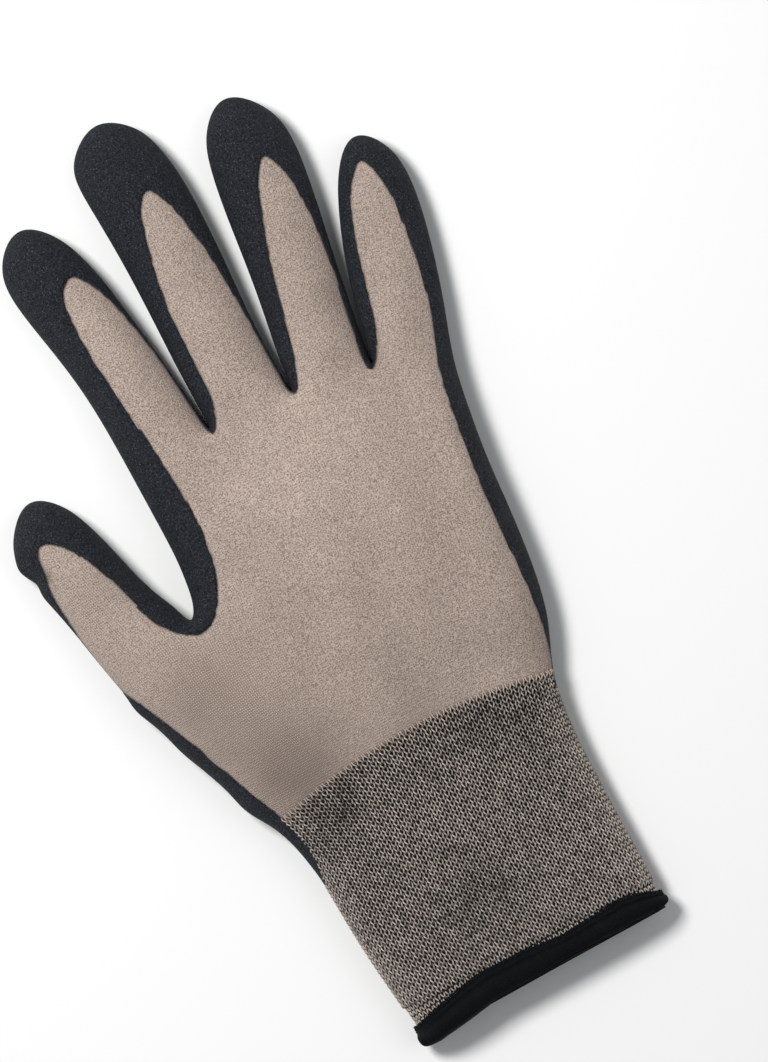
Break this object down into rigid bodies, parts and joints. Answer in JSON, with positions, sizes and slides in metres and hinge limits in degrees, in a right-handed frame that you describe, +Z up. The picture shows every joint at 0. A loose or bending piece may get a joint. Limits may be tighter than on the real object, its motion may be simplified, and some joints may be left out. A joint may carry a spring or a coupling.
{
  "type": "coated garden glove",
  "caption": "Right-hand knitted garden glove with a dark dipped grip coat on palm and fingertips, an elastic knit cuff and an overlocked hem, lying palm down.",
  "frame": {"origin": "middle of the glove's outline on the surface that it lies on", "axes": "+Y along the ring finger, towards its tip, -X towards the thumb, +Z up out of the back of the hand"},
  "size_m": [0.1272, 0.2455, 0.017],
  "materials": {
    "knit": "fine brushed seamless knit in warm grey-beige yarn",
    "coating": "sandy foamed nitrile dip, matte bluish black with fine glints",
    "cuff": "plain elastic knit, grey-beige yarn over dark elastic thread",
    "hem": "overlocked black stretch thread"
  },
  "bodies": {
    "root": {"hand_shell": "knit", "palm_coating": "coating", "wrist_cuff": "cuff", "hem_binding": "hem"}
  },
  "joints": []
}
